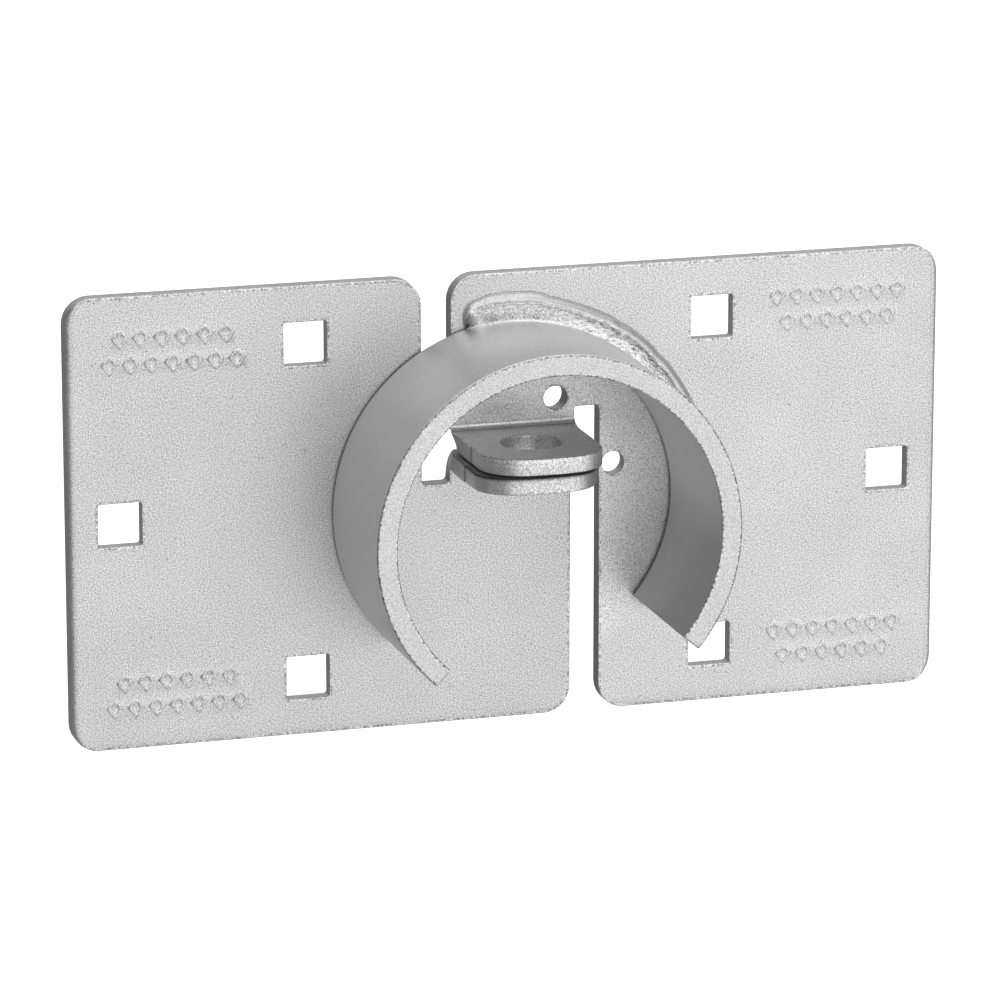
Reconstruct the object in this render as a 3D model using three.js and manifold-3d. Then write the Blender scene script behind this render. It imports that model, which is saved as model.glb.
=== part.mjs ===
// Hasp and staple for a pair of doors that meet edge to edge, locked by a round hidden-shackle padlock.
// Each door carries one steel plate, whose inner end is folded forward into a flat tab with a pin hole.
// With the doors closed the right plate's tab lies on the left plate's tab, the two pin holes line up,
// and an open ring welded to the right plate shrouds the padlock that hangs on the tabs.
//
// Millimetres. X runs across both doors, +Z is up and -Y points out of the doors, towards the user.
// The backs of both plates lie in the plane y = 0.

import * as THREE from "three";
import { mergeVertices } from "three/addons/utils/BufferGeometryUtils.js";
import Module from "manifold-3d";

// ---------------------------------------------------------------- driving dimensions

const SHEET = 4; // thickness of the plates and of their tabs
const OVERALL_WIDTH = 215.5; // over both plates
const PLATE_HEIGHT = 109.2;
const PLATE_CORNER = 6.5;
const MEETING_EDGE = 14.9; // how far each plate reaches past the middle on the side of its own tab
const PLATE_GAP = 7.1; // clear gap between the two plates

const BOLT_HOLE = 10.4; // side of the square holes for 3/8 inch carriage bolts
const BOLT_INNER = [50.2, 40.6]; // distance of the upper and lower bolt holes from the middle, in X and Z
const BOLT_OUTER = 95.3; // distance of the outer bolt hole from the middle, in X

const BEND_INSIDE = 1.2; // radius of the fold on the face that shows
const TAB_WIDTH = 30.1;
const TAB_REACH = 33.4; // from the plate's front face to the end of the tab
const TAB_CORNER = 10;
const TAB_END_RADIUS = 41; // the shallow arc between the tab's two corners
const PIN_HOLE = 14.5; // diameter of the hole for the padlock's pin
const PIN_FORWARD = 16.7; // from the plate's front face to the pin hole's centre

const UPPER_FOLD = 18.4; // height of the fold's centre on the right plate
const UPPER_NOTCH = 20.9; // height of the notch beside that fold
const LOWER_FOLD = 7.5; // height of the fold's centre on the left plate
const LOWER_NOTCH = 4.4;
const LOWER_TAB_INSET = 1.1; // how far the left plate's tab is set in from that plate's own edge

const LOCATING_HOLE = 5.6; // two round holes in the right plate, inside the ring
const LOCATING_HOLES = [
  [11.0, 23.4],
  [25.5, 6.4],
];

const RING_CENTRE = [0.4, -1.2];
const RING_OUTSIDE = 44.45; // outer radius, that of a 3 inch pipe
const RING_INSIDE = 39.4;
const RING_LIFT = 0.5; // clearance between the ring's back rim and the plates' front faces
const RING_FRONT = 39.6; // from the plates' front faces to the ring's front rim
const RING_RIGHT_END = -40.3; // directions of the ring's two ends, in degrees from +X towards +Z
const RING_LEFT_END = 227.2;
const RING_END_ROUND = 1; // rounding of the four corners of the C, seen from the front

const WELD_START = 103.5; // the weld runs clockwise along the ring's outside between these directions
const WELD_END = -34;
const WELD_CLEAR = 0.3; // the gap kept to the ring and to the plate
const WELD_FOOT = 6; // width of the weld on the plate, from the ring's outside
const WELD_RISE = 4.6; // height of the weld against the ring, from the plate's front face
const WELD_BULGE = 1.1; // how far its face bulges past the straight line between its toes

const FINE_ARC = 12; // segments on each small rounded corner
const RING_ARC = 80; // segments along each of the ring's arcs
const WELD_ARC = 96; // segments of the full turn that the weld is taken from

// ---------------------------------------------------------------- solids

const wasm = await Module();
wasm.setup();

function toSolid(geometry) {
  const bare = geometry.clone();
  bare.deleteAttribute("normal");
  bare.deleteAttribute("uv");
  const merged = mergeVertices(bare, 1e-4);
  const vertProperties = merged.attributes.position.array;
  const triVerts = new Uint32Array(merged.index.array);
  return new wasm.Manifold(new wasm.Mesh({ numProp: 3, vertProperties, triVerts }));
}

function toGeometry(solid) {
  const mesh = solid.getMesh();
  const geometry = new THREE.BufferGeometry();
  geometry.setAttribute("position", new THREE.BufferAttribute(mesh.vertProperties, 3));
  geometry.setIndex(new THREE.BufferAttribute(mesh.triVerts, 1));
  const faceted = geometry.toNonIndexed();
  faceted.computeVertexNormals();
  return faceted;
}

// Three ways to stand an extrusion up. Its shape is drawn in the first two axes of each name.
const drawnInXZ = (geometry) => geometry.rotateX(Math.PI / 2); // grows towards -Y
const drawnInXForward = (geometry) => geometry.rotateX(Math.PI); // grows towards -Z
const FORWARD_Z_BASIS = new THREE.Matrix4().makeBasis(
  new THREE.Vector3(0, -1, 0),
  new THREE.Vector3(0, 0, 1),
  new THREE.Vector3(-1, 0, 0),
);
const drawnInForwardZ = (geometry) => geometry.applyMatrix4(FORWARD_Z_BASIS); // grows towards -X

function extrude(shape, depth, curveSegments = FINE_ARC) {
  return new THREE.ExtrudeGeometry(shape, { depth, curveSegments, bevelEnabled: false });
}

// A closed shape through corners [x, y, radius], in anticlockwise order, each corner an arc of its radius.
function roundedShape(corners) {
  const shape = new THREE.Shape();
  corners.forEach(([x, y, radius], i) => {
    const corner = new THREE.Vector2(x, y);
    const before = corners[(i + corners.length - 1) % corners.length];
    const after = corners[(i + 1) % corners.length];
    const back = new THREE.Vector2(before[0], before[1]).sub(corner).normalize();
    const ahead = new THREE.Vector2(after[0], after[1]).sub(corner).normalize();
    if (radius === 0) {
      if (i === 0) shape.moveTo(x, y);
      else shape.lineTo(x, y);
      return;
    }
    const half = Math.acos(back.dot(ahead)) / 2;
    const start = corner.clone().addScaledVector(back, radius / Math.tan(half));
    const end = corner.clone().addScaledVector(ahead, radius / Math.tan(half));
    const middle = back.clone().add(ahead).normalize();
    const centre = corner.clone().addScaledVector(middle, radius / Math.sin(half));
    const turnsLeft = ahead.cross(back) > 0;
    if (i === 0) shape.moveTo(start.x, start.y);
    else shape.lineTo(start.x, start.y);
    const startAngle = Math.atan2(start.y - centre.y, start.x - centre.x);
    const endAngle = Math.atan2(end.y - centre.y, end.x - centre.x);
    shape.absarc(centre.x, centre.y, radius, startAngle, endAngle, !turnsLeft);
  });
  shape.closePath();
  return shape;
}

function squareHole(x, y, side) {
  const hole = new THREE.Path();
  hole.moveTo(x - side / 2, y - side / 2);
  hole.lineTo(x - side / 2, y + side / 2);
  hole.lineTo(x + side / 2, y + side / 2);
  hole.lineTo(x + side / 2, y - side / 2);
  hole.closePath();
  return hole;
}

function roundHole(x, y, diameter) {
  return new THREE.Path().absarc(x, y, diameter / 2, 0, 2 * Math.PI, true);
}

// ---------------------------------------------------------------- plates

// Both plates are drawn as the right plate. The left one is turned half a turn about Y afterwards, and is
// folded at another height so that its tab passes under the right plate's tab.

const tabSideEdge = -MEETING_EDGE; // the plate's own edge on the side of its tab
const lowerEdge = MEETING_EDGE + PLATE_GAP;

function flatOfPlate(fold, notch, tabFar, roundHoles) {
  const outer = OVERALL_WIDTH / 2;
  const top = PLATE_HEIGHT / 2;
  const shape = roundedShape([
    [lowerEdge, -top, PLATE_CORNER],
    [outer, -top, PLATE_CORNER],
    [outer, top, PLATE_CORNER],
    [tabSideEdge, top, PLATE_CORNER],
    [tabSideEdge, fold, 0],
    [tabFar, fold, 0],
    [tabFar, notch, 0],
    [lowerEdge, notch, 0],
  ]);
  shape.holes.push(squareHole(BOLT_INNER[0], BOLT_INNER[1], BOLT_HOLE));
  shape.holes.push(squareHole(BOLT_INNER[0], -BOLT_INNER[1], BOLT_HOLE));
  shape.holes.push(squareHole(BOLT_OUTER, 0, BOLT_HOLE));
  for (const [x, z] of roundHoles) {
    shape.holes.push(roundHole(x, z, LOCATING_HOLE));
  }
  return drawnInXZ(extrude(shape, SHEET));
}

// The sheet seen from its edge: down the plate, round the fold and straight forward.
function foldedStrip(fold, tabFar) {
  const outside = SHEET + BEND_INSIDE;
  const end = SHEET + TAB_REACH + 1;
  const intoPlate = fold + BEND_INSIDE;
  const profile = new THREE.Shape();
  profile.moveTo(0, intoPlate);
  profile.lineTo(0, fold);
  profile.absarc(outside, fold, outside, Math.PI, 1.5 * Math.PI, false);
  profile.lineTo(end, fold - outside);
  profile.lineTo(end, fold - BEND_INSIDE);
  profile.lineTo(outside, fold - BEND_INSIDE);
  profile.absarc(outside, fold, BEND_INSIDE, 1.5 * Math.PI, Math.PI, true);
  profile.lineTo(SHEET, intoPlate);
  profile.closePath();
  const strip = drawnInForwardZ(extrude(profile, TAB_WIDTH + 2));
  return strip.translate(tabFar + 1, 0, 0);
}

// The tab's outline from above, with its pin hole. It cuts the strip to shape.
function tabOutline(fold, tabNear, tabFar) {
  const middle = (tabNear + tabFar) / 2;
  const cornerX = TAB_WIDTH / 2 - TAB_CORNER;
  const endCentre = TAB_END_RADIUS - TAB_REACH; // behind the plate's front face, on the tab's middle line
  const cornerY = Math.sqrt((TAB_END_RADIUS - TAB_CORNER) ** 2 - cornerX ** 2) - endCentre;
  const endAngle = Math.asin(cornerX / (TAB_END_RADIUS - TAB_CORNER));
  const up = Math.PI / 2;
  const shape = new THREE.Shape();
  shape.moveTo(tabNear, -1);
  shape.lineTo(tabFar, -1);
  shape.absarc(middle + cornerX, SHEET + cornerY, TAB_CORNER, 0, up - endAngle, false);
  shape.absarc(middle, SHEET - endCentre, TAB_END_RADIUS, up - endAngle, up + endAngle, false);
  shape.absarc(middle - cornerX, SHEET + cornerY, TAB_CORNER, up + endAngle, Math.PI, false);
  shape.closePath();
  shape.holes.push(roundHole(0, SHEET + PIN_FORWARD, PIN_HOLE));
  const height = 2 * (SHEET + BEND_INSIDE);
  const outline = drawnInXForward(extrude(shape, height, 2 * FINE_ARC));
  return outline.translate(0, 0, fold + BEND_INSIDE);
}

// The tab starts that inset away from the plate's own edge.
function makePlate(fold, notch, inset, roundHoles) {
  const tabNear = tabSideEdge + inset;
  const tabFar = tabNear + TAB_WIDTH;
  const tab = toSolid(foldedStrip(fold, tabFar)).intersect(toSolid(tabOutline(fold, tabNear, tabFar)));
  return toGeometry(toSolid(flatOfPlate(fold, notch, tabFar, roundHoles)).add(tab));
}

// ---------------------------------------------------------------- ring

const radians = THREE.MathUtils.degToRad;

function makeRing() {
  const start = radians(RING_RIGHT_END);
  const end = radians(RING_LEFT_END);
  const shape = new THREE.Shape();
  // Each end is a straight cut between two small rounds, which start this far round the two arcs.
  const outerStep = RING_END_ROUND / RING_OUTSIDE;
  const innerStep = RING_END_ROUND / RING_INSIDE;
  const at = (radius, angle) => [radius * Math.cos(angle), radius * Math.sin(angle)];
  const outerCut = RING_OUTSIDE - RING_END_ROUND;
  const innerCut = RING_INSIDE + RING_END_ROUND;
  shape.moveTo(...at(outerCut, start));
  shape.quadraticCurveTo(...at(RING_OUTSIDE, start), ...at(RING_OUTSIDE, start + outerStep));
  shape.absarc(0, 0, RING_OUTSIDE, start + outerStep, end - outerStep, false);
  shape.quadraticCurveTo(...at(RING_OUTSIDE, end), ...at(outerCut, end));
  shape.lineTo(...at(innerCut, end));
  shape.quadraticCurveTo(...at(RING_INSIDE, end), ...at(RING_INSIDE, end - innerStep));
  shape.absarc(0, 0, RING_INSIDE, end - innerStep, start + innerStep, true);
  shape.quadraticCurveTo(...at(RING_INSIDE, start), ...at(innerCut, start));
  shape.closePath();
  const ring = drawnInXZ(extrude(shape, RING_FRONT - RING_LIFT, RING_ARC));
  return ring.translate(RING_CENTRE[0], -SHEET - RING_LIFT, RING_CENTRE[1]);
}

// ---------------------------------------------------------------- weld

// The fillet weld's section is revolved about the ring's axis, then the part between the weld's two ends is
// kept. A ball closes each end, trimmed to the same corner between the ring and the plate.

function weldSection() {
  const inner = RING_OUTSIDE + WELD_CLEAR;
  const back = WELD_CLEAR;
  const foot = RING_OUTSIDE + WELD_FOOT;
  const bulge = new THREE.QuadraticBezierCurve(
    new THREE.Vector2(foot, back),
    new THREE.Vector2((inner + foot) / 2 + 2 * WELD_BULGE, (back + WELD_RISE) / 2 + 2 * WELD_BULGE),
    new THREE.Vector2(inner, WELD_RISE),
  );
  const corner = new THREE.Vector2(inner, back);
  return [corner, ...bulge.getPoints(8), corner.clone()];
}

// A wedge of the full turn, between two directions, thick enough to hold the weld.
function sector(startAngle, endAngle) {
  const reach = 2 * RING_OUTSIDE;
  const shape = new THREE.Shape();
  shape.moveTo(0, 0);
  shape.lineTo(reach * Math.cos(startAngle), reach * Math.sin(startAngle));
  shape.absarc(0, 0, reach, startAngle, endAngle, false);
  shape.closePath();
  return drawnInXZ(extrude(shape, 2 * WELD_RISE)).translate(0, SHEET / 2, 0);
}

function makeWeld() {
  const start = radians(WELD_END);
  const end = radians(WELD_START);
  const turned = new THREE.LatheGeometry(weldSection(), WELD_ARC).rotateX(Math.PI);
  let weld = toSolid(turned).intersect(toSolid(sector(start, end)));
  const ballRadius = (WELD_FOOT + WELD_RISE) / 4;
  for (const angle of [start, end]) {
    const ball = new THREE.SphereGeometry(ballRadius, 24, 16);
    const radius = RING_OUTSIDE + WELD_CLEAR + ballRadius / 2;
    ball.translate(radius * Math.cos(angle), -WELD_CLEAR - ballRadius / 2, radius * Math.sin(angle));
    weld = weld.add(toSolid(ball));
  }
  // The corner that the balls may not enter: behind the plate's front face, and inside the ring's surface.
  const reach = 2 * RING_OUTSIDE;
  const behind = new THREE.BoxGeometry(2 * reach, reach, 2 * reach).translate(0, reach / 2 - WELD_CLEAR, 0);
  const clear = RING_OUTSIDE + WELD_CLEAR;
  const inside = new THREE.CylinderGeometry(clear, clear, reach, WELD_ARC);
  weld = weld.subtract(toSolid(behind)).subtract(toSolid(inside));
  return toGeometry(weld).translate(RING_CENTRE[0], -SHEET, RING_CENTRE[1]);
}

// ---------------------------------------------------------------- assembly

function part(name, geometry, color, roughness) {
  const material = new THREE.MeshStandardMaterial({ color, roughness, metalness: 0.9 });
  const mesh = new THREE.Mesh(geometry, material);
  mesh.name = name;
  return mesh;
}

const ZINC = 0xc9cacb;
const WELD_METAL = 0xb9b9b7;

// The left plate is turned half a turn about Y, so its heights are given upside down.
const leftPlate = part("left_plate", makePlate(-LOWER_FOLD, -LOWER_NOTCH, LOWER_TAB_INSET, []), ZINC, 0.5);
leftPlate.rotation.y = Math.PI;

const rightHalf = new THREE.Group();
rightHalf.add(part("right_plate", makePlate(UPPER_FOLD, UPPER_NOTCH, 0, LOCATING_HOLES), ZINC, 0.5));
rightHalf.add(part("shroud_ring", makeRing(), ZINC, 0.5));
rightHalf.add(part("weld_bead", makeWeld(), WELD_METAL, 0.4));

const haspAndStaple = new THREE.Group();
haspAndStaple.add(leftPlate);
haspAndStaple.add(rightHalf);

export default haspAndStaple;
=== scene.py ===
"""Visual model of the double door hasp and staple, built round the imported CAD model, in metres."""

import math

import bpy
import numpy as np
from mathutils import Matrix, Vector
from mathutils.geometry import delaunay_2d_cdt
from mathutils.noise import noise


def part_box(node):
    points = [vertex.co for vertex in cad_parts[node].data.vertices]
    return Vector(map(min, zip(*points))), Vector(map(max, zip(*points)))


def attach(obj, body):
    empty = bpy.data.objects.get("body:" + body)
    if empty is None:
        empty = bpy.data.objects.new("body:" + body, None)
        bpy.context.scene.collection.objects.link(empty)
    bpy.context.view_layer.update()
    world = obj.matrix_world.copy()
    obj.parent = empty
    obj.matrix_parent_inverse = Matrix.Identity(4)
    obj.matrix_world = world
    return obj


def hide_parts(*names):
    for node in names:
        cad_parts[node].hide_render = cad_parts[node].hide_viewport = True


MM = 0.001

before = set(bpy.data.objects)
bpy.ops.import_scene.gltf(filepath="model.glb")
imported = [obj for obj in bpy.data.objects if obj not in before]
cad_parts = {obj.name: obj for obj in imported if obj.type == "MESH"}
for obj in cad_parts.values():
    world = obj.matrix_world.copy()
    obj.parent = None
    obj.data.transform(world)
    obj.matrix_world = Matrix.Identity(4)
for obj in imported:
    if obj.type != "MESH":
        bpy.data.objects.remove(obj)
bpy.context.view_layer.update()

# ---------------------------------------------------------------- sizes

# The boxes of the CAD nodes give the overall sizes. Most of the others repeat the CAD model's dimensions. The
# small roundings, the flare, the steps and the weld's ends are the visual model's own.
right_low, right_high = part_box("right_plate")
ring_low, ring_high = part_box("shroud_ring")

SHEET = 4 * MM
OUTER = right_high.x  # from the middle to a plate's outer edge
HALF_HEIGHT = right_high.z
MEETING = -right_low.x  # how far a plate reaches past the middle on the side of its own tab
PLATE_GAP = 7.1 * MM
PLATE_CORNER = 6.5 * MM

BOLT_HOLE = 10.4 * MM
BOLT_CORNER = 0.5 * MM
BOLT_INNER = (50.2 * MM, 40.6 * MM)
BOLT_OUTER = 95.3 * MM
LOCATING_HOLE = 5.6 * MM
LOCATING_HOLES = ((11.0 * MM, 23.4 * MM), (25.5 * MM, 6.4 * MM))

TAB_WIDTH = 30.1 * MM
TAB_REACH = -right_low.y  # from the plate's back to the end of the tab
TAB_CORNER = 10 * MM
TAB_END_RADIUS = 41 * MM
PIN_HOLE = 14.5 * MM
PIN_FORWARD = 20.7 * MM  # from the plate's back to the pin hole's centre
BEND_INSIDE = 1.2 * MM
UPPER_FOLD, UPPER_NOTCH = 18.4 * MM, 20.9 * MM
LOWER_FOLD, LOWER_NOTCH = 7.5 * MM, 4.4 * MM
LOWER_TAB_INSET = 1.1 * MM  # how far the left plate's tab is set in from that plate's own edge
NOTCH_CORNER = 0.9 * MM

FRONT_ROUND = 0.3 * MM  # rounding of the sheet's edges on the face that was struck
OUTER_ROUND = 1.5 * MM  # the same along the plates' outer ends
BACK_ROUND = 0.25 * MM
BACK_MARGIN = 0.6 * MM  # the last row of the edge lies this far in from the back's rounding
HOLE_FLARE = 0.18 * MM  # how much a punched hole widens towards the back, on each side
TAB_STEP = 0.12 * MM  # a small step in the tab's sides, where two strokes of the shear met
TAB_STEP_FORWARD = 21 * MM  # from the plate's back to that step

RING_OUTSIDE = (ring_high.x - ring_low.x) / 2
RING_WALL = 5.05 * MM
RING_X = (ring_high.x + ring_low.x) / 2
RING_Z = ring_high.z - RING_OUTSIDE
RING_BACK, RING_FRONT = -ring_high.y, -ring_low.y  # distances in front of the plates' backs
RING_ENDS = (math.radians(-40.3), math.radians(227.2))
RING_ROUND = 0.5 * MM
RING_MIDDLE = RING_OUTSIDE - RING_WALL / 2

WELD_ENDS = (math.radians(-36), math.radians(105.4))  # a little past the CAD bead at both ends

# ---------------------------------------------------------------- outlines


def arc(cx, cy, radius, start, end, steps):
    """Points along an arc, from one direction to another in radians, with both ends."""
    turns = np.linspace(start, end, steps + 1)
    return [(cx + radius * math.cos(t), cy + radius * math.sin(t)) for t in turns]


def rounded(corners, steps=7):
    """A closed outline through corners (x, y, radius), each corner an arc of its radius."""
    points = []
    for i, (x, y, radius) in enumerate(corners):
        corner = Vector((x, y))
        if not radius:
            points.append((x, y))
            continue
        back = (Vector(corners[i - 1][:2]) - corner).normalized()
        ahead = (Vector(corners[(i + 1) % len(corners)][:2]) - corner).normalized()
        half = back.angle(ahead) / 2
        centre = corner + (back + ahead).normalized() * radius / math.sin(half)
        start = corner + back * radius / math.tan(half) - centre
        end = corner + ahead * radius / math.tan(half) - centre
        first = math.atan2(start.y, start.x)
        sweep = (math.atan2(end.y, end.x) - first + math.pi) % (2 * math.pi) - math.pi
        points += arc(centre.x, centre.y, radius, first, first + sweep, steps)
    return points


def subdivided(points, longest):
    """The same outline with no side longer than that."""
    out = []
    for i, (x, y) in enumerate(points):
        nx, ny = points[(i + 1) % len(points)]
        parts = max(1, math.ceil(math.hypot(nx - x, ny - y) / longest))
        out += [(x + (nx - x) * k / parts, y + (ny - y) * k / parts) for k in range(parts)]
    return out


def with_levels(points, levels, left, right):
    """The outline with a point added wherever it crosses one of the levels between left and right."""
    out = []
    for i, (x, y) in enumerate(points):
        nx, ny = points[(i + 1) % len(points)]
        out.append((x, y))
        if not (left <= x <= right and left <= nx <= right):
            continue
        crossed = [v for v in levels if min(y, ny) + 1e-7 < v < max(y, ny) - 1e-7]
        for v in sorted(crossed, reverse=ny < y):
            out.append((x + (nx - x) * (v - y) / (ny - y), v))
    return out


def inward(points):
    """For each point of a closed outline, the step that moves it one unit to the left of its two sides."""
    p = np.array(points)
    ahead = np.roll(p, -1, axis=0) - p
    ahead /= np.linalg.norm(ahead, axis=1)[:, None]
    normal = np.stack([-ahead[:, 1], ahead[:, 0]], axis=1)
    before = np.roll(normal, 1, axis=0)
    both = normal + before
    return both / (1 + (normal * before).sum(axis=1))[:, None]


def inside(points, outline):
    """Which of the points lie inside a closed outline."""
    p = np.array(points)
    a = np.array(outline)
    b = np.roll(a, -1, axis=0)
    hit = np.zeros(len(p), bool)
    for (ax, ay), (bx, by) in zip(a, b):
        if ay == by:
            continue
        crosses = (ay > p[:, 1]) != (by > p[:, 1])
        hit ^= crosses & (p[:, 0] < ax + (p[:, 1] - ay) * (bx - ax) / (by - ay))
    return hit


# ---------------------------------------------------------------- meshes


def smooth(value, low, high):
    """0 below low and 1 above high, with an even curve between. It also falls when low is above high."""
    t = np.clip((value - low) / (high - low), 0.0, 1.0)
    return t * t * (3 - 2 * t)


def hill(value, middle, width):
    """1 at the middle, falling away evenly on both sides."""
    return math.exp(-(((value - middle) / width) ** 2))


def make_object(name, vertices, faces, material, tone, speckle):
    """A mesh that also carries, for each vertex, its tone, mostly painted light and shade, and how speckled.
    """
    mesh = bpy.data.meshes.new(name)
    mesh.from_pydata([tuple(v) for v in vertices], [], faces)
    for title, values in (("tone", tone), ("speckle", speckle)):
        layer = mesh.attributes.new(title, "FLOAT", "POINT")
        layer.data.foreach_set("value", np.array(values, np.float32))
    mesh.update()
    mesh.materials.append(material)
    mesh.shade_smooth()
    obj = bpy.data.objects.new(name, mesh)
    bpy.context.scene.collection.objects.link(obj)
    weighted = obj.modifiers.new("flat_faces", "WEIGHTED_NORMAL")
    weighted.mode = "FACE_AREA"
    weighted.weight = 80
    return obj


def swept_faces(stations, count):
    """The faces of a closed section of count points swept through the stations, with both ends closed."""
    faces = []
    for s in range(stations - 1):
        a, b = s * count, (s + 1) * count
        for i in range(count):
            j = (i + 1) % count
            faces.append((a + i, a + j, b + j, b + i))
    last = (stations - 1) * count
    faces.append(tuple(range(count - 1, -1, -1)))
    faces.append(tuple(last + i for i in range(count)))
    return faces


# Rows across the sheet's edge. On the front face: (distance from the rounding, tone, speckle).
# The row of tone 0.84 is a painted dark shade line just inside the rounding.
FRONT_ROWS = (
    (1.4 * MM, 1.0, 0.0),
    (0.45 * MM, 1.0, 0.1),
    (0.2 * MM, 0.84, 0.75),
    (0.05 * MM, 1.0, 0.4),
)
# Down the sheared wall: (share of the thickness, tone, speckle). Its bands are the marks the shear left.
WALL_ROWS = (
    (0.86, 1.08, 0.2),
    (0.76, 0.97, 0.1),
    (0.62, 1.05, 0.05),
    (0.45, 0.97, 0.05),
    (0.28, 1.0, 0.1),
    (0.16, 0.95, 0.1),
)
ROUND_STEPS = 4
ROUND_SPECKLE, BACK_SPECKLE = 0.35, 0.15
# Painted shade: a dark line along the back rounding of every outline and hole.
BACK_SHADE_TONE = 0.3


def rim_rows(front_round, share):
    """The sheet's edge from its front face to its back, as rows of (distance into the material, distance
    from the back, tone, speckle). Share squeezes the rows where there is little metal."""
    front = front_round * share
    back = BACK_ROUND * share
    rows = [(front + beyond * share, SHEET, tone, speckle) for beyond, tone, speckle in FRONT_ROWS]
    for k in range(ROUND_STEPS + 1):
        turn = math.pi / 2 * k / ROUND_STEPS
        drop = front * (1 - math.cos(turn))
        rows.append((front * (1 - math.sin(turn)), SHEET - drop, 1.0, ROUND_SPECKLE))
    for height, tone, speckle in WALL_ROWS:
        rows.append((0.0, back + (SHEET - back - front) * height, tone, speckle))
    # Down the back rounding, past its first row, runs the painted dark shade line.
    for k in range(ROUND_STEPS, -1, -1):
        turn = math.pi / 2 * k / ROUND_STEPS
        tone = 0.9 if k == ROUND_STEPS else BACK_SHADE_TONE
        rows.append((back * (1 - math.sin(turn)), back * (1 - math.cos(turn)), tone, BACK_SPECKLE))
    rows.append((back + BACK_MARGIN, 0.0, 1.0, 0.0))
    return rows


def cap(loops, rows, spacing, relief=()):
    """Triangles over the area inside the first loop and outside the others. rows are constraint lines, and
    relief is a list of (closed outline, height). Returns the points, their heights, the triangles, and for
    each point which point of the loops it is, or -1."""
    points, edges, heights = [], [], []

    def add(chain, closed, height=0.0):
        first = len(points)
        points.extend(chain)
        heights.extend([height] * len(chain))
        last = len(chain) if closed else len(chain) - 1
        edges.extend((first + i, first + (i + 1) % len(chain)) for i in range(last))

    for loop in loops:
        add(loop, True)
    fixed = len(points)
    for row in rows:
        add(row, False)
    for outline, height in relief:
        add(outline, True, height)
    taken = np.array(points)
    low, high = taken.min(axis=0), taken.max(axis=0)
    across = np.arange(low[0] + spacing / 2, high[0], spacing)
    up = np.arange(low[1] + spacing / 2, high[1], spacing)
    grid = np.array([(x, y) for x in across for y in up])
    keep = inside(grid, loops[0])
    for loop in loops[1:]:
        keep &= ~inside(grid, loop)
    grid = grid[keep]
    clear = [np.hypot(*(taken - g).T).min() > spacing * 0.45 for g in grid]
    for g in grid[np.array(clear, bool)]:
        points.append(tuple(g))
        heights.append(0.0)
    made = delaunay_2d_cdt([Vector(p) for p in points], edges, [], 0, 1e-8, True)
    out, triangles, origin = [tuple(v) for v in made[0]], made[2], made[3]
    middles = np.array([np.mean([out[i] for i in t], axis=0) for t in triangles])
    keep = inside(middles, loops[0])
    for loop in loops[1:]:
        keep &= ~inside(middles, loop)
    triangles = [t for t, k in zip(triangles, keep) if k]
    height = [max([heights[i] for i in ids], default=0.0) for ids in origin]
    source = [min([i for i in ids if i < fixed], default=-1) for ids in origin]
    return out, height, triangles, source


# ---------------------------------------------------------------- plates

TAB_SIDE_EDGE = -MEETING  # the plate's own edge on the side of its tab
LOWER_EDGE = MEETING + PLATE_GAP  # its inner edge beyond the notch
TAB_LIMIT = LOWER_EDGE - 4 * MM  # everything of the tab lies on this side of it, within the notch
BEND_LENGTH = math.pi / 2 * (BEND_INSIDE + SHEET / 2)
BEND_ROWS = 14  # steps in the bend's quarter turn


def folded(x, v, n, fold):
    """The place of a point of the flat blank once its tab is folded: v is its height on the blank and n its
    distance from the back face."""
    if v >= fold or x > TAB_LIMIT:
        return (x, -n, v)
    along = fold - v
    radius = SHEET + BEND_INSIDE - n
    if along < BEND_LENGTH:
        turn = along / BEND_LENGTH * math.pi / 2
        return (x, radius * math.cos(turn) - SHEET - BEND_INSIDE, fold - radius * math.sin(turn))
    return (x, BEND_LENGTH - along - SHEET - BEND_INSIDE, fold - radius)


# Folding sheet this thick draws its sides in on the outside of the fold and swells them on the inside. Each
# row gives a distance past the start of the fold, and how far the side moves out there on the outside and on
# the inside of the sheet, in mm.
UPPER_NEAR_SPREAD = (
    (-8, 0, 0),
    (-2, -1.2, 0),
    (0, -1.5, 0.1),
    (2.5, -1.6, 0.2),
    (5, -1.4, 0.2),
    (7, -0.6, 0.1),
    (9.5, 0, 0),
)
UPPER_FAR_SPREAD = (
    (-8, 0, 0),
    (-3, -0.3, 0.6),
    (0, -0.8, 0.8),
    (3, -1.4, 0.9),
    (5, -1.2, 0.75),
    (7, -0.5, 0.4),
    (10, 0, 0),
)
LOWER_NEAR_SPREAD = ((-8, 0, 0), (2.5, -0.8, 0.3), (8, 0, 0))
LOWER_FAR_SPREAD = (
    (-8, 0, 0),
    (-4, -1.0, -1.0),
    (0, -1.4, -1.1),
    (2.5, -2.0, -0.7),
    (4.5, -2.2, -0.2),
    (6.5, -1.3, 0.1),
    (9, -0.3, 0.2),
    (20, 0, 0.2),
    (26, 0, 0),
)
SPREAD_REACH = 3.5 * MM  # how far in from the side the sheet is moved


def spread(x, v, n, fold, side_x, outward, table):
    """How far a point of the blank moves in X because of the fold, beside the tab's side at side_x."""
    places, outer, inner = (np.array(column) * MM for column in zip(*table))
    along = fold - v
    share = n / SHEET
    amount = np.interp(along, places, outer) * (1 - share) + np.interp(along, places, inner) * share
    return outward * amount * hill(x, side_x, SPREAD_REACH)


def on_blank(forward, fold):
    """The height on the flat blank of what ends up that far forward of the plate's back."""
    return fold - BEND_LENGTH - (forward - SHEET - BEND_INSIDE)


def bend_levels(fold):
    """The heights on the blank where it is divided across the tab, so that it bends evenly."""
    along = [-0.5 * MM, -0.15 * MM]
    along += [BEND_LENGTH * k / BEND_ROWS for k in range(BEND_ROWS + 1)]
    along += [BEND_LENGTH + 0.2 * MM, BEND_LENGTH + 0.6 * MM]
    return [fold - a for a in along]
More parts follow.
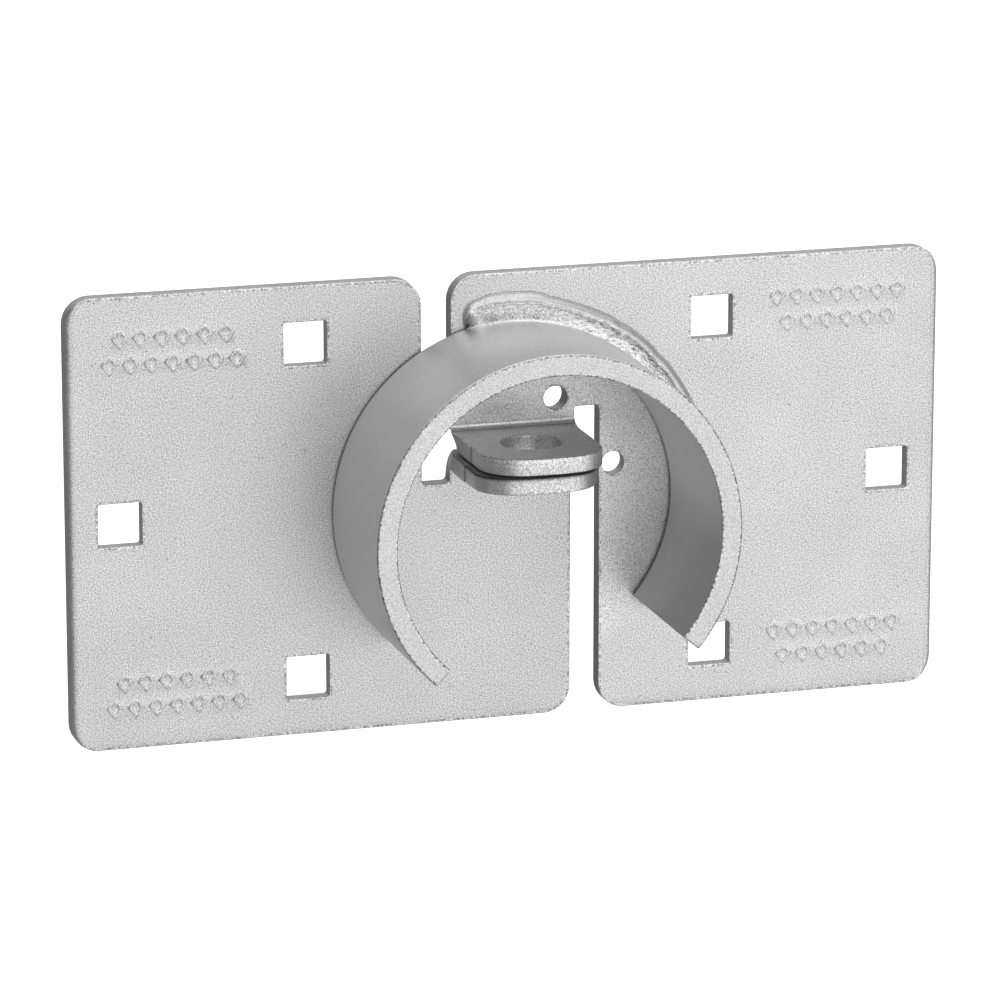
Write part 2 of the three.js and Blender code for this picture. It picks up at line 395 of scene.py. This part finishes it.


# Inside the fold runs a painted highlight, between two painted dark shade lines: (distance past the fold,
# tone).
BEND_HIGHLIGHT_TONE = (
    (-0.5 * MM, 1.0),
    (-0.15 * MM, 0.8),
    (0.35 * MM, 0.85),
    (1.0 * MM, 1.55),
    (BEND_LENGTH - 0.7 * MM, 1.45),
    (BEND_LENGTH - 0.1 * MM, 0.6),
    (BEND_LENGTH + 0.2 * MM, 0.5),
    (BEND_LENGTH + 0.6 * MM, 1.0),
)


def blank_outline(fold, notch, inset):
    """The flat blank, anticlockwise, with its tab hanging down from the fold."""
    near = TAB_SIDE_EDGE + inset
    far = near + TAB_WIDTH
    middle = (near + far) / 2
    corner_x = TAB_WIDTH / 2 - TAB_CORNER
    end_centre = on_blank(TAB_REACH - TAB_END_RADIUS, fold)
    lean = math.asin(corner_x / (TAB_END_RADIUS - TAB_CORNER))
    corner_y = end_centre - (TAB_END_RADIUS - TAB_CORNER) * math.cos(lean)
    down = -math.pi / 2
    step_y = on_blank(TAB_STEP_FORWARD, fold)
    corners = [
        (far, notch, NOTCH_CORNER),
        (LOWER_EDGE, notch, NOTCH_CORNER),
        (LOWER_EDGE, -HALF_HEIGHT, PLATE_CORNER),
        (OUTER, -HALF_HEIGHT, PLATE_CORNER),
        (OUTER, HALF_HEIGHT, PLATE_CORNER),
        (TAB_SIDE_EDGE, HALF_HEIGHT, PLATE_CORNER),
    ]
    if inset:
        corners += [(TAB_SIDE_EDGE, fold, 0), (near, fold, 0)]
    corners += [(near, step_y + TAB_STEP / 2, 0), (far, step_y + TAB_STEP / 2, 0)]
    outline = rounded(corners)
    right_end = outline.pop()
    outline.append((near + TAB_STEP, step_y - TAB_STEP / 2))
    corner = TAB_CORNER - TAB_STEP
    start = middle - corner_x
    outline += arc(start, corner_y, corner, math.pi, math.pi * 1.5 - lean, 12)[:-1]
    outline += arc(middle, end_centre, TAB_END_RADIUS - TAB_STEP, down - lean, down + lean, 10)
    outline += arc(middle + corner_x, corner_y, corner, down + lean, 0, 12)[1:]
    outline += [(far - TAB_STEP, step_y - TAB_STEP / 2), right_end]
    return with_levels(subdivided(outline, MM), bend_levels(fold), TAB_SIDE_EDGE - MM, TAB_LIMIT)


def square_hole(x, y):
    """The outline of a bolt hole, clockwise."""
    half = BOLT_HOLE / 2
    corners = [(x - half, y - half), (x - half, y + half), (x + half, y + half), (x + half, y - half)]
    return subdivided(rounded([(*c, BOLT_CORNER) for c in corners], 4), 3 * MM)


def round_hole(x, y, diameter, steps):
    """The outline of a round hole, clockwise."""
    return arc(x, y, diameter / 2, 2 * math.pi, 0, steps)[:-1]


MARK_WIDE, MARK_HIGH = 4.5 * MM, 5.6 * MM
MARK_PITCH = 5.1 * MM
MARK_ROWS = ((7, 3.1 * MM), (6, -3.1 * MM))  # lozenges in each row, and the row's height above the middle
MARK_RAISED = 0.4 * MM
MARK_SLOPE = 0.22 * MM
MARK_STROKE = 1.0 * MM


def lozenge(x, y, inset):
    """One lozenge of the stamped marks, drawn in by inset."""
    half_wide = MARK_WIDE / 2 - inset
    half_high = MARK_HIGH / 2 - 1.2 * inset
    points = [(x - half_wide, y), (x, y - half_high), (x + half_wide, y), (x, y + half_high)]
    return subdivided(points, 2 * MM)


def stamped_mark(x, y):
    """A plain ornament raised from the sheet: two rows of open lozenges, set like bricks."""
    relief = []
    for count, rise in MARK_ROWS:
        for k in range(count):
            centre = x + (k - (count - 1) / 2) * MARK_PITCH
            for inset, height in (
                (0.0, 0.0),
                (MARK_SLOPE, MARK_RAISED),
                (MARK_STROKE, MARK_RAISED),
                (MARK_STROKE + MARK_SLOPE, 0.0),
            ):
                relief.append((lozenge(centre, y + rise, inset), height))
    return relief


def rim_radii(loop, others, soft_end):
    """For each point of a loop, the rounding of the front edge there and how far the rim rows may reach in,
    as a share of their full depth. Where another loop comes close they are squeezed."""
    points = np.array(loop)
    nearest = np.sqrt(((points[:, None, :] - np.array(others)[None, :, :]) ** 2).sum(axis=2)).min(axis=1)
    front = np.full(len(points), FRONT_ROUND)
    if soft_end:
        front += (OUTER_ROUND - FRONT_ROUND) * smooth(points[:, 0], OUTER - PLATE_CORNER / 2, OUTER)
    share = np.clip(0.4 * nearest / (front + FRONT_ROWS[0][0]), 0.0, 1.0)
    return front, share


class Skin:
    """The plate's vertices as they grow, each (x, height on the blank, distance from the back), with their
    tones and speckles, and its faces."""

    def __init__(self):
        self.vertices, self.tones, self.speckles, self.faces = [], [], [], []

    def add(self, vertex, tone, speckle):
        self.vertices.append(vertex)
        self.tones.append(tone)
        self.speckles.append(speckle)
        return len(self.vertices) - 1


def add_rim(skin, loop, others, outer):
    """The rows round one outline. Returns the index of each row's first vertex."""
    radii, shares = rim_radii(loop, others, outer)
    flare = 0.0 if outer else HOLE_FLARE
    rows = [rim_rows(radius, share) for radius, share in zip(radii, shares)]
    steps = inward(loop)
    starts = []
    for k in range(len(rows[0])):
        starts.append(len(skin.vertices))
        for i, (x, y) in enumerate(loop):
            depth, height, tone, speckle = rows[i][k]
            depth += flare * (1 - height / SHEET) * shares[i]
            skin.add((x + steps[i][0] * depth, y + steps[i][1] * depth, height), tone, speckle)
    for a, b in zip(starts, starts[1:]):
        for i in range(len(loop)):
            j = (i + 1) % len(loop)
            skin.faces.append((a + i, b + i, b + j, a + j))
    return starts


def add_face(skin, rims, near, far, fold, marks, front):
    """The flat front or back face, inside the rims. Across the fold it has rows of its own."""
    which = 0 if front else -1
    index = [starts[which] + i for starts, count in rims for i in range(count)]
    edges = [[skin.vertices[starts[which] + i][:2] for i in range(count)] for starts, count in rims]
    margin = FRONT_ROUND + FRONT_ROWS[0][0] if front else BACK_ROUND + BACK_MARGIN
    across = np.linspace(near + margin, far - margin, 16)
    rows = [[(x, v) for x in across] for v in bend_levels(fold)]
    relief = [r for mark in marks for r in stamped_mark(*mark)] if front else []
    points, heights, triangles, source = cap(edges, rows, 5 * MM, relief)
    place = []
    for (x, y), height, origin in zip(points, heights, source):
        if origin >= 0:
            place.append(index[origin])
        else:
            place.append(skin.add((x, y, SHEET + height if front else 0.0), 1.0, 0.0))
    for a, b, c in triangles:
        skin.faces.append((place[a], place[b], place[c]) if front else (place[c], place[b], place[a]))


def build_plate(name, fold, notch, inset, round_holes, marks, spreads, turned, material):
    """One plate: the rims of its outline and holes, flat faces between them, and then the fold."""
    near = TAB_SIDE_EDGE + inset
    far = near + TAB_WIDTH
    loops = [
        blank_outline(fold, notch, inset),
        square_hole(BOLT_INNER[0], BOLT_INNER[1]),
        square_hole(BOLT_INNER[0], -BOLT_INNER[1]),
        square_hole(BOLT_OUTER, 0),
        round_hole(0, on_blank(PIN_FORWARD, fold), PIN_HOLE, 64),
    ]
    loops += [round_hole(x, z, LOCATING_HOLE, 32) for x, z in round_holes]
    skin = Skin()
    rims = []
    for number, loop in enumerate(loops):
        others = [p for other in loops if other is not loop for p in other]
        rims.append((add_rim(skin, loop, others, number == 0), len(loop)))
    for front in (True, False):
        add_face(skin, rims, near, far, fold, marks, front)
    paint_light_shade_and_specks(skin, fold, turned)
    side = -1 if turned else 1
    shaped = []
    for x, v, n in skin.vertices:
        moved = x + spread(x, v, n, fold, near, -1, spreads[0]) + spread(x, v, n, fold, far, 1, spreads[1])
        x, y, z = folded(moved, v, n, fold)
        shaped.append((side * x, y, side * z))
    return make_object(name, shaped, skin.faces, material, skin.tones, skin.speckles)


# Painted light: the tab's sheared sides are made a little lighter.
TAB_WALL_LIGHT_TONE = 1.06
STEP_SHADE_TONE = 0.65  # painted dark shade line on the small steps in the tab's sides
GAP_SHADE = 0.7  # how much darker the lower tab's edge is along the gap between the tabs
EDGE_LINE_SHADE_TONE = 0.5  # painted dark shade line along the back of the plates' top and bottom edges
SIDE_WALL_SHADE = 0.25  # on the walls where the plates face each other
LEFT_PLATE_TONE = 0.95
BOTTOM_SHADE = 0.14
RING_SPECKLE = 0.16  # on the right plate inside the ring
RING_PAINTED_LIGHT = 0.2  # painted light: how much lighter that plate is there, below the holes


def wall_tone(x, v, n, on_tab, turned, step_v):
    """The painted light and shade of the sheared edge there, laid over the tone of its rows."""
    tone = 1.0
    if on_tab:
        # painted shade on the steps, painted light on the rest of the tab's sides
        tone *= STEP_SHADE_TONE if abs(v - step_v) < 0.7 * TAB_STEP else TAB_WALL_LIGHT_TONE
    if turned and n < 0.17 * SHEET:
        tone *= 1 - GAP_SHADE * smooth(v, step_v + 2 * MM, step_v - 2 * MM)
    if not on_tab and n < 0.2 * SHEET and abs(v) > HALF_HEIGHT - MM:
        # painted dark shade line at the back of the top and bottom edges
        tone *= EDGE_LINE_SHADE_TONE
    if not on_tab and x < LOWER_EDGE + MM:
        tone *= 1 - SIDE_WALL_SHADE * smooth(abs(v), HALF_HEIGHT - MM, HALF_HEIGHT - PLATE_CORNER)
    return tone


def paint_light_shade_and_specks(skin, fold, turned):
    """Tones that follow the fold, the walls, the bottom edge and the ring, laid over those of the rims:
    mostly painted light and shade, with the left plate a little darker and specks inside the ring.
    """
    past, lightness = zip(*BEND_HIGHLIGHT_TONE)
    step_v = on_blank(TAB_STEP_FORWARD, fold)
    tones, speckles = skin.tones, skin.speckles
    for i, (x, v, n) in enumerate(skin.vertices):
        on_tab = x < TAB_LIMIT and v < fold + MM
        if on_tab and n >= SHEET - 0.01 * MM:
            # painted highlight and dark shade lines across the inside of the fold
            tones[i] *= np.interp(fold - v, past, lightness)
        if 0.0 < n < SHEET:
            tones[i] *= wall_tone(x, v, n, on_tab, turned, step_v)
        if turned:
            tones[i] *= LEFT_PLATE_TONE
        down = v if turned else -v
        tones[i] *= 1 - BOTTOM_SHADE * smooth(down, HALF_HEIGHT - 2.2 * MM, HALF_HEIGHT - 0.8 * MM)
        if x > OUTER - PLATE_CORNER / 2:
            speckles[i] *= 1 - smooth(x, OUTER - PLATE_CORNER / 2, OUTER - OUTER_ROUND)
        if not turned and not (on_tab and v < fold) and n >= SHEET:
            from_ring = math.hypot(x - RING_X, v - RING_Z)
            within = smooth(from_ring, RING_OUTSIDE, RING_OUTSIDE - 6 * MM)
            speckles[i] = max(speckles[i], RING_SPECKLE * within)
            # painted light on the right plate inside the ring, below the holes
            tones[i] *= 1 + RING_PAINTED_LIGHT * within * smooth(v, 22 * MM, 4 * MM)


# ---------------------------------------------------------------- ring


RING_EDGE_STEPS = (0.12 * MM, 0.3 * MM, 0.55 * MM, 0.9 * MM)  # extra divisions beside each corner
NICK = math.radians(92.4)  # where a painted dark shade line stands for a small nick across the inner half of the ring's front face


def ring_tone(from_outside, from_inside, from_front, from_back):
    """Tone and speckle on the ring's section, from the distances to its four sides. The tones paint light
    and shade along its edges and a nearly black contact shadow on its back face.
    """
    nearest = min(from_outside, from_inside, from_front, from_back)
    if nearest == from_front:
        if from_outside < from_inside:
            # Painted highlight, then a painted dark shade line, along the front's outer edge.
            tone = np.interp(from_outside / MM, (0.1, 0.15, 0.42, 0.6), (1.2, 0.62, 0.66, 1.0))
            return tone, np.interp(from_outside / MM, (0.1, 0.2, 0.5, 0.7), (0.2, 0.9, 0.6, 0.0))
        # A painted dark shade line along the front's inner edge.
        tone = np.interp(from_inside / MM, (0.1, 0.3, 0.8), (0.8, 1.05, 1.0))
        return tone, np.interp(from_inside / MM, (0.1, 0.3, 0.7), (0.9, 0.9, 0.0))
    if nearest == from_outside:
        # Painted highlight along the outside near the front, and painted contact shadow near the back.
        tone = np.interp(from_front / MM, (0.1, 0.4, 0.9), (1.3, 1.35, 1.0))
        return tone * np.interp(from_back / MM, (0.3, 0.6), (0.4, 1.0)), 0.0
    if nearest == from_inside:
        # Painted contact shadow, nearly black, along the inside's back edge.
        return np.interp(from_back / MM, (0.2, 0.5, 0.8), (0.1, 0.15, 1.0)), 0.0
    # The back face is painted nearly black, as a contact shadow.
    return 0.2, 0.0


def ring_section(draw_in):
    """The ring's section as (radius, distance in front of the plates' backs, tone, speckle), smaller by
    draw_in all round."""
    half_wall = RING_WALL / 2 - draw_in
    half_depth = (RING_FRONT - RING_BACK) / 2 - draw_in
    middle_depth = (RING_FRONT + RING_BACK) / 2
    corners = [(half_wall, half_depth), (-half_wall, half_depth)]
    corners += [(-half_wall, -half_depth), (half_wall, -half_depth)]
    radius = RING_ROUND - 0.6 * draw_in
    loop = rounded([(*c, radius) for c in corners], 4)
    section = []
    for i, start in enumerate(loop):
        end = loop[(i + 1) % len(loop)]
        length = math.dist(start, end)
        places = [0.0]
        if length > 2 * RING_EDGE_STEPS[-1]:
            inner = list(RING_EDGE_STEPS) + [length - step for step in reversed(RING_EDGE_STEPS)]
            middle = np.linspace(RING_EDGE_STEPS[-1], length - RING_EDGE_STEPS[-1], 8)[1:-1]
            places = sorted(places + inner + list(middle))
        for place in places:
            x = start[0] + (end[0] - start[0]) * place / length
            y = start[1] + (end[1] - start[1]) * place / length
            sides = (half_wall - x, x + half_wall, half_depth - y, y + half_depth)
            section.append((RING_MIDDLE + x, middle_depth + y, *ring_tone(*sides)))
    return section


def on_ring(radius, forward, angle):
    """The place at a radius and direction about the ring's axis, so far in front of the plates' backs."""
    return (RING_X + radius * math.cos(angle), -forward, RING_Z + radius * math.sin(angle))


NICK_SHADE_TONE = 0.6
LOWER_INSIDE_SHADE = 0.3  # how much darker the ring's inside is at its lower right


def build_ring(material):
    """A C cut from pipe: a rounded section swept round the arc, drawn in at both ends."""
    start, end = RING_ENDS
    turns = np.linspace(0, math.pi / 2, 5)
    near_start = []
    for turn in turns:
        past_start = RING_ROUND * (1 - math.cos(turn)) / RING_OUTSIDE
        near_start.append((start + past_start, RING_ROUND * (1 - math.sin(turn))))
    near_end = [(end + start - angle, draw_in) for angle, draw_in in reversed(near_start)]
    nick = [NICK + side * 0.15 * MM / RING_OUTSIDE for side in (-1, 0, 1)]
    body = sorted(list(np.linspace(near_start[-1][0], near_end[0][0], 170)[1:-1]) + nick)
    stations = near_start + [(angle, 0.0) for angle in body] + near_end
    vertices, tones, speckles = [], [], []
    for angle, draw_in in stations:
        for radius, forward, tone, speckle in ring_section(draw_in):
            vertices.append(on_ring(radius, forward, angle))
            inner = radius < RING_MIDDLE
            # the nick is only a painted dark shade line
            if inner and angle == NICK and forward > RING_FRONT - 0.1 * MM:
                tone *= NICK_SHADE_TONE
            if inner and forward < RING_FRONT - RING_ROUND:
                tone *= 1 - LOWER_INSIDE_SHADE * smooth(angle, math.radians(15), math.radians(-12))
            tones.append(tone)
            speckles.append(speckle)
    faces = swept_faces(len(stations), len(vertices) // len(stations))
    return make_object("shroud_ring_visual", vertices, faces, material, tones, speckles)


# ---------------------------------------------------------------- weld


WELD_STATIONS, WELD_ACROSS = 900, 44


def weld_size(degrees):
    """How far the weld's toes lie from the root, (out over the plate, up the ring), at that angle."""
    out = np.interp(degrees, (-36, 60, 76, 79.5, 82, 88, 96, 103), (5.6, 5.7, 5.8, 5.9, 6.5, 6.9, 6.8, 6.0))
    up = np.interp(degrees, (-36, 40, 63, 74, 90, 104), (4.2, 4.4, 4.7, 4.0, 2.9, 2.3))
    return out * MM, up * MM


TOE_LINE, TOE_SHADE_TONE = 0.045, 0.35  # the painted dark shade line along the plate's toe: its share of the way across, and tone
# Where the weld starts lie two painted highlights, and a painted dark shade spot at the ring: (t, degrees,
# tone).
START_HIGHLIGHTS_AND_SHADE = ((0.45, 102.6, 0.8), (0.9, 101.2, 0.7), (0.85, 104.6, -0.6))


def weld_look(t, degrees, along):
    """Tone and relief at the share t of the way from the plate's toe to the ring's. The outer strand is
    smooth. The inner one is speckled, and drawn into bright streaks as it goes down the ring's right side.
    On top of these lie a painted dark shade line at the plate's toe, a painted highlight along the ring
    above the lower right, a dark line along the outer strand, and painted highlights and shade where it
    starts."""
    late = smooth(degrees, 84, 68)
    speck = noise(Vector((along / (0.32 * MM), t * 22, 1.7)))
    speck += 0.7 * noise(Vector((along / (0.17 * MM), t * 40, 9.1)))
    streak = noise(Vector((along / (1.1 * MM) + t * 3, t * 26 + along / (1.6 * MM), 4.2)))
    streak += 0.6 * noise(Vector((along / (0.5 * MM), t * 44, 6.6)))
    rough = smooth(t, 0.34, 0.46) * (1 - 0.6 * smooth(t, 0.9, 0.96) * (1 - late))
    tone = 1.02 - 0.16 * late * smooth(t, 0.42, 0.3)
    tone -= 0.14 * rough
    tone += rough * ((1 - 0.5 * late) * 0.7 * speck + late * 0.9 * streak)
    tone += 0.3 * late * smooth(t, 0.6, 0.9)
    # painted highlight along the ring, above the lower right
    tone += 0.6 * smooth(t, 0.91, 0.95) * (1 - late)
    tone -= 0.22 * hill(t, 0.3, 0.03) * smooth(degrees, 90, 84)
    for spot_t, spot_degrees, lift in START_HIGHLIGHTS_AND_SHADE:
        tone += lift * hill(t, spot_t, 0.14) * hill(degrees, spot_degrees, 1.1)
    # painted dark shade line at the plate's toe
    if t < TOE_LINE:
        tone = TOE_SHADE_TONE
    relief = rough * (0.1 * speck * (1 - 0.6 * late) + 0.14 * late * streak)
    return max(0.12, tone), relief * MM


WELD_ROUND_OFF = 4 * MM  # the length over which the weld grows at each end
BLOB_FROM_START, BLOB_WIDTH = 2 * MM, 4.5 * MM


def weld_crown(t, blob):
    """How far the weld's surface stands out from the straight line between its toes: a round with two strands
    on it and a seam between them."""
    strands = 0.45 * hill(t, 0.2, 0.14) + 0.3 * hill(t, 0.7, 0.18)
    return ((0.75 + 0.9 * blob) * math.sin(math.pi * t) + strands - 0.4 * hill(t, 0.44, 0.05)) * MM


def build_weld(material):
    """A fillet weld laid in two strands, with a rounded blob where it starts at the upper left."""
    start, end = WELD_ENDS
    vertices, tones = [], []
    for s in range(WELD_STATIONS + 1):
        angle = end + (start - end) * s / WELD_STATIONS
        degrees = math.degrees(angle)
        along = (end - angle) * RING_OUTSIDE
        to_end = (angle - start) * RING_OUTSIDE
        round_off = min(along / WELD_ROUND_OFF, to_end / WELD_ROUND_OFF, 1.0)
        grow = math.sqrt(max(0.0, 1 - (1 - round_off) ** 2))
        blob = hill(along, BLOB_FROM_START, BLOB_WIDTH)
        out, up = weld_size(degrees)
        out *= 0.2 + 0.8 * grow
        up *= 0.2 + 0.8 * grow
        wave = 0.22 * MM * noise(Vector((along / (3.1 * MM), 0.4, 0)))
        for k in range(WELD_ACROSS + 1):
            t = k / WELD_ACROSS
            tone, relief = weld_look(t, degrees, along)
            push = (weld_crown(t, blob) + relief + wave * math.sin(math.pi * t)) * grow
            radius = RING_OUTSIDE - 0.15 * MM + (out + wave) * (1 - t) + 0.707 * push
            forward = SHEET - 0.1 * MM + up * t + 0.707 * push
            vertices.append(on_ring(radius, forward, angle))
            tones.append(tone)
        vertices.append(on_ring(RING_OUTSIDE - 0.3 * MM, SHEET - 0.3 * MM, angle))
        tones.append(1.0)
    faces = swept_faces(WELD_STATIONS + 1, WELD_ACROSS + 2)
    return make_object("weld_bead_visual", vertices, faces, material, tones, [0.0] * len(tones))


# ---------------------------------------------------------------- materials


def new_material(name):
    """A material with an empty node tree."""
    material = bpy.data.materials.new(name)
    material.use_nodes = True
    tree = material.node_tree
    tree.nodes.clear()
    return material, tree


def node(tree, kind, **values):
    """A new node, with its sockets or settings of those names set."""
    made = tree.nodes.new(kind)
    for key, value in values.items():
        if key in made.inputs:
            made.inputs[key].default_value = value
        else:
            setattr(made, key, value)
    return made


def ranged(tree, value, low, high, to_low, to_high):
    """The value carried from low..high to to_low..to_high, and held there."""
    made = node(tree, "ShaderNodeMapRange", clamp=True)
    for socket, number in (("From Min", low), ("From Max", high), ("To Min", to_low), ("To Max", to_high)):
        made.inputs[socket].default_value = number
    tree.links.new(value, made.inputs["Value"])
    return made.outputs["Result"]


def maths(tree, operation, first, second):
    """A maths node on two inputs, each a number or another node's output."""
    made = node(tree, "ShaderNodeMath", operation=operation)
    for socket, value in zip(made.inputs, (first, second)):
        if isinstance(value, float):
            socket.default_value = value
        else:
            tree.links.new(value, socket)
    return made.outputs[0]


def zinc(name, base, roughness, metallic, grain, side_grain, pits):
    """Satin zinc plate. Its sandy grain is strongest on faces that look forwards or back, at grain, and falls
    to side_grain on the others, with a little more on those that look up. Over it lie slow, cloudy changes of
    tone and a few dark pits. The mesh's tone, most of it painted light and shade, and its speckle make its
    edges, fold and weld lighter, darker or more flecked."""
    material, tree = new_material(name)
    link = tree.links.new
    place = node(tree, "ShaderNodeTexCoord")
    sand = node(tree, "ShaderNodeTexNoise", Scale=3000.0, Detail=1.0, Roughness=0.6)
    cloud = node(tree, "ShaderNodeTexNoise", Scale=48.0, Detail=4.0, Roughness=0.6)
    spots = node(tree, "ShaderNodeTexNoise", Scale=1100.0, Detail=2.0, Roughness=0.5)
    specks = node(tree, "ShaderNodeTexNoise", Scale=1900.0, Detail=1.0, Roughness=0.5)
    for texture in (sand, cloud, spots, specks):
        link(place.outputs["Object"], texture.inputs["Vector"])
    tone = node(tree, "ShaderNodeAttribute", attribute_name="tone").outputs["Fac"]
    speckle = node(tree, "ShaderNodeAttribute", attribute_name="speckle").outputs["Fac"]

    split = node(tree, "ShaderNodeSeparateXYZ")
    link(place.outputs["Normal"], split.inputs["Vector"])
    outward = maths(tree, "ABSOLUTE", split.outputs["Y"], 0.0)
    strength = ranged(tree, outward, 0.6, 0.98, side_grain, grain)
    upward = ranged(tree, split.outputs["Z"], 0.6, 1.0, 0.0, 0.1)
    strength = maths(tree, "ADD", strength, upward)
    grains = maths(tree, "MULTIPLY", ranged(tree, sand.outputs["Fac"], 0.28, 0.72, -1.0, 1.0), strength)
    drift = ranged(tree, cloud.outputs["Fac"], 0.3, 0.7, -0.035, 0.035)
    dots = ranged(tree, spots.outputs["Fac"], 0.68, 0.76, 0.0, -pits)
    flecks = maths(tree, "MULTIPLY", ranged(tree, specks.outputs["Fac"], 0.34, 0.66, -0.55, 0.55), speckle)
    relief = maths(tree, "ADD", maths(tree, "ADD", grains, dots), flecks)
    light = maths(tree, "ADD", maths(tree, "ADD", relief, drift), base)
    light = maths(tree, "MULTIPLY", light, tone)
    light = maths(tree, "MINIMUM", maths(tree, "MAXIMUM", light, 0.02), 1.0)
    grey = node(tree, "ShaderNodeCombineColor")
    for socket in ("Red", "Green", "Blue"):
        link(light, grey.inputs[socket])
    bump = node(tree, "ShaderNodeBump", Strength=0.4, Distance=0.00005)
    link(relief, bump.inputs["Height"])
    shader = node(tree, "ShaderNodeBsdfPrincipled", Metallic=metallic)
    link(grey.outputs["Color"], shader.inputs["Base Color"])
    gloss = ranged(tree, cloud.outputs["Fac"], 0.3, 0.7, roughness - 0.04, roughness + 0.04)
    link(gloss, shader.inputs["Roughness"])
    link(bump.outputs["Normal"], shader.inputs["Normal"])
    out = node(tree, "ShaderNodeOutputMaterial")
    link(shader.outputs["BSDF"], out.inputs["Surface"])
    return material


def plain_floor():
    """White and a little luminous, so that it stays pale under any light."""
    material, tree = new_material("pale_floor")
    shader = node(tree, "ShaderNodeBsdfPrincipled", Roughness=0.9)
    shader.inputs["Base Color"].default_value = (0.9, 0.9, 0.9, 1)
    shader.inputs["Emission Color"].default_value = (1, 1, 1, 1)
    shader.inputs["Emission Strength"].default_value = 0.6
    out = node(tree, "ShaderNodeOutputMaterial")
    tree.links.new(shader.outputs["BSDF"], out.inputs["Surface"])
    return material


# ---------------------------------------------------------------- object

plate_zinc = zinc("zinc_plate", 0.66, 0.39, 0.85, grain=0.32, side_grain=0.1, pits=0.2)
ring_zinc = zinc("zinc_ring", 0.66, 0.42, 0.9, grain=0.19, side_grain=0.03, pits=0.1)
weld_zinc = zinc("zinc_weld", 0.6, 0.36, 0.9, grain=0.15, side_grain=0.15, pits=0.1)

MARKS = ((82 * MM, 41.5 * MM), (82 * MM, -41.5 * MM))  # the stamped marks' middles on each plate

left_plate = build_plate(
    "left_plate_visual",
    fold=-LOWER_FOLD,
    notch=-LOWER_NOTCH,
    inset=LOWER_TAB_INSET,
    round_holes=(),
    marks=MARKS,
    spreads=(LOWER_NEAR_SPREAD, LOWER_FAR_SPREAD),
    turned=True,
    material=plate_zinc,
)
right_plate = build_plate(
    "right_plate_visual",
    fold=UPPER_FOLD,
    notch=UPPER_NOTCH,
    inset=0.0,
    round_holes=LOCATING_HOLES,
    marks=MARKS,
    spreads=(UPPER_NEAR_SPREAD, UPPER_FAR_SPREAD),
    turned=False,
    material=plate_zinc,
)
ring = build_ring(ring_zinc)
weld = build_weld(weld_zinc)

for piece, node_name, body in (
    (left_plate, "left_plate", "left_half"),
    (right_plate, "right_plate", "right_half"),
    (ring, "shroud_ring", "right_half"),
    (weld, "weld_bead", "right_half"),
):
    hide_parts(node_name)
    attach(piece, body)

# ---------------------------------------------------------------- stage, light and camera


bpy.ops.mesh.primitive_plane_add(size=16, location=(0, 0, -0.25))
floor = bpy.context.object
floor.name = "floor"
floor.data.materials.append(plain_floor())
floor.visible_glossy = False  # the metal reflects the lobes of light below it instead
floor.visible_diffuse = False


# Each lobe of light: its direction and its strength. The first seven strengths came from a least-squares fit
# to greys of the reference photo, the seventh then weakened. The last two were given.
SKY_LOBES = (
    ((0.35, -0.93, -0.1), 1.19),
    ((-0.5, -0.85, 0.1), 0.21),
    ((0.1, -0.75, 0.65), 0.49),
    ((1, -0.2, 0.1), 0.45),
    ((0, 0, 1), 1.25),
    ((0, 0, -1), 0.53),
    ((0.45, 0.8, 0.4), 0.5),
    ((-0.55, 0.8, -0.35), 0.2),
    ((-1, -0.25, -0.2), 0.15),
)
LOBE_START, LOBE_FULL = 0.45, 0.95  # cosines of the angle from a lobe's middle where it starts and is full


def studio_world():
    """Soft light by direction, from the lobes. The camera sees plain white."""
    world = bpy.data.worlds.new("studio")
    bpy.context.scene.world = world
    world.use_nodes = True
    tree = world.node_tree
    tree.nodes.clear()
    link = tree.links.new
    direction = node(tree, "ShaderNodeTexCoord").outputs["Generated"]
    total = None
    for aim, strength in SKY_LOBES:
        dot = node(tree, "ShaderNodeVectorMath", operation="DOT_PRODUCT")
        dot.inputs[1].default_value = Vector(aim).normalized()
        link(direction, dot.inputs[0])
        lobe = node(tree, "ShaderNodeMapRange", interpolation_type="SMOOTHSTEP")
        lobe.inputs["From Min"].default_value = LOBE_START
        lobe.inputs["From Max"].default_value = LOBE_FULL
        lobe.inputs["To Max"].default_value = strength
        link(dot.outputs["Value"], lobe.inputs["Value"])
        light = lobe.outputs["Result"]
        total = maths(tree, "ADD", total, light) if total else light
    seen = node(tree, "ShaderNodeLightPath").outputs["Is Camera Ray"]
    choose = node(tree, "ShaderNodeMix", data_type="FLOAT")
    choose.inputs["B"].default_value = 1.0
    link(seen, choose.inputs["Factor"])
    link(total, choose.inputs["A"])
    back = node(tree, "ShaderNodeBackground")
    link(choose.outputs["Result"], back.inputs["Strength"])
    link(back.outputs["Background"], node(tree, "ShaderNodeOutputWorld").inputs["Surface"])


studio_world()

# The camera's place and lens come from a perspective fit to the reference photo.
CAMERA_TURN = math.radians(-16.696)
CAMERA_RISE = math.radians(14.497)
CAMERA_DISTANCE = 1.37736
CAMERA_LENS = 208.227
AIM = Vector((-2.642 * MM, -SHEET, -0.730 * MM))

camera_data = bpy.data.cameras.new("camera")
camera_data.sensor_width = 36
camera_data.lens = CAMERA_LENS
camera_data.clip_start = 0.01
camera_data.clip_end = 50
camera = bpy.data.objects.new("camera", camera_data)
bpy.context.scene.collection.objects.link(camera)
towards_camera = Vector(
    (
        math.sin(CAMERA_TURN) * math.cos(CAMERA_RISE),
        -math.cos(CAMERA_TURN) * math.cos(CAMERA_RISE),
        math.sin(CAMERA_RISE),
    )
)
camera.location = AIM + towards_camera * CAMERA_DISTANCE
camera.rotation_euler = (-towards_camera).to_track_quat("-Z", "Y").to_euler()
bpy.context.scene.camera = camera
bpy.context.scene.view_settings.view_transform = "Standard"
